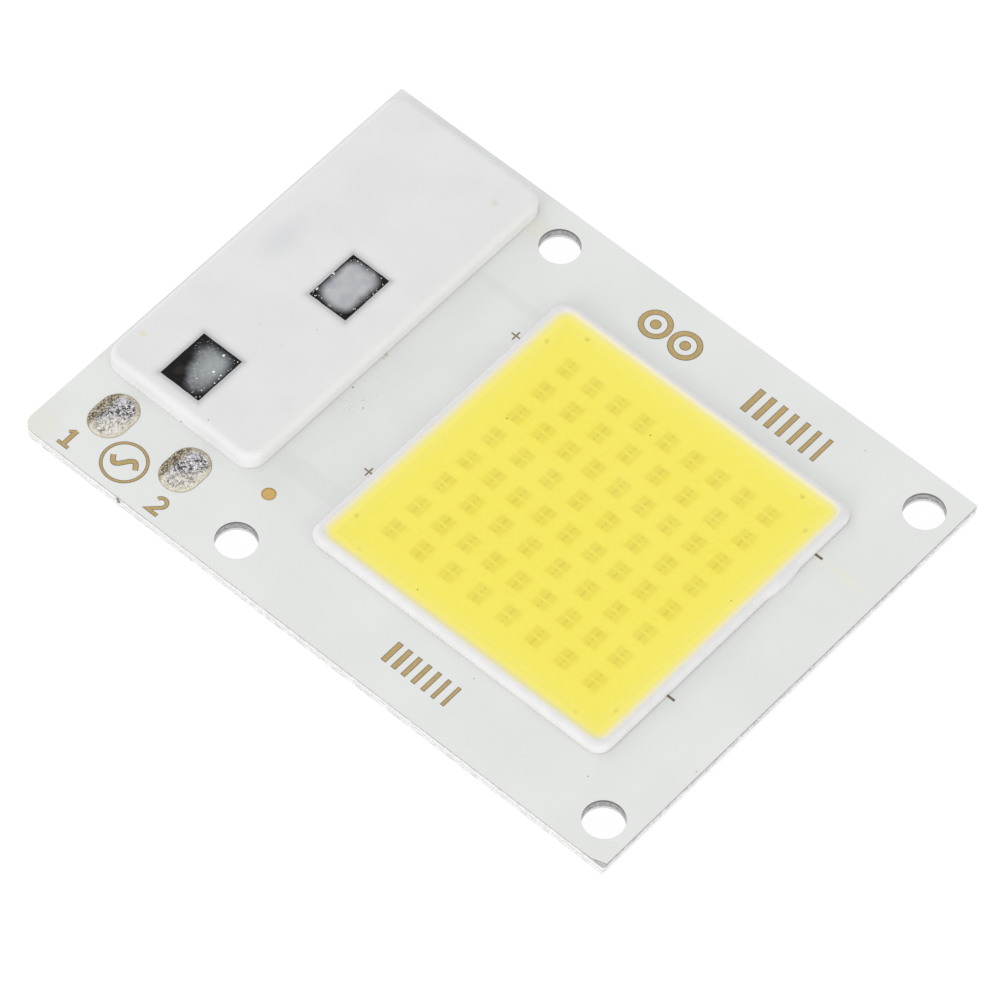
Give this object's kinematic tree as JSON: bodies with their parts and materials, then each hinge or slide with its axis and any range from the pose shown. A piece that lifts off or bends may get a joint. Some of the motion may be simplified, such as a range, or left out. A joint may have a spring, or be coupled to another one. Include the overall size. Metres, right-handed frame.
{
  "type": "cob led module",
  "caption": "Flat mains-driven COB LED light module: aluminium-core board with screw holes, yellow phosphor field inside a white dam, potted driver block and solder pads.",
  "frame": {"origin": "centre of the board's underside", "axes": "+X along the board from the potted driver to the light field, +Z out of the lit side"},
  "size_m": [0.054, 0.04, 0.0025],
  "materials": {
    "aluminium": "rolled underside, sheared edges with fine streaks",
    "dielectric": "resin layer, seen only at the edges",
    "copper": "etched copper under the mask",
    "gilt": "gold-flashed copper",
    "solder_mask": "satin white solder mask",
    "solder": "dull tinned solder with flux at its rim",
    "package": "black moulded epoxy smeared with grey silicone",
    "lead_frame": "tinned leads and caps",
    "resistor": "white ceramic",
    "die": "sapphire die seen through the phosphor",
    "dam": "satin white silicone bead",
    "phosphor": "soft yellow phosphor gel with a smooth surface",
    "potting": "satin white silicone potting"
  },
  "bodies": {
    "root": {"aluminium_base": "aluminium", "dielectric_layer": "dielectric", "live_copper": "copper", "fused_live_copper": "copper", "neutral_copper": "copper", "supply_copper": "copper", "return_copper": "copper", "ground_copper": "copper", "sense_copper": "copper", "die_link_copper": "copper", "fiducial_pad": "gilt", "die_bond_marks": "gilt", "solder_mask": "solder_mask", "live_solder_pad": "solder", "neutral_solder_pad": "solder", "component_solder": "solder", "rectifier_body": "package", "rectifier_leads": "lead_frame", "regulator_body": "package", "regulator_leads": "lead_frame", "sense_resistor_body": "resistor", "sense_resistor_caps": "lead_frame", "fuse_resistor_body": "resistor", "fuse_resistor_caps": "lead_frame", "die_contacts": "gilt", "led_row_1": "die", "led_row_2": "die", "led_row_3": "die", "led_row_4": "die", "led_row_5": "die", "led_row_6": "die", "led_row_7": "die", "led_row_8": "die", "dam_ring": "dam", "phosphor_gel": "phosphor", "potting_block": "potting"}
  },
  "joints": []
}
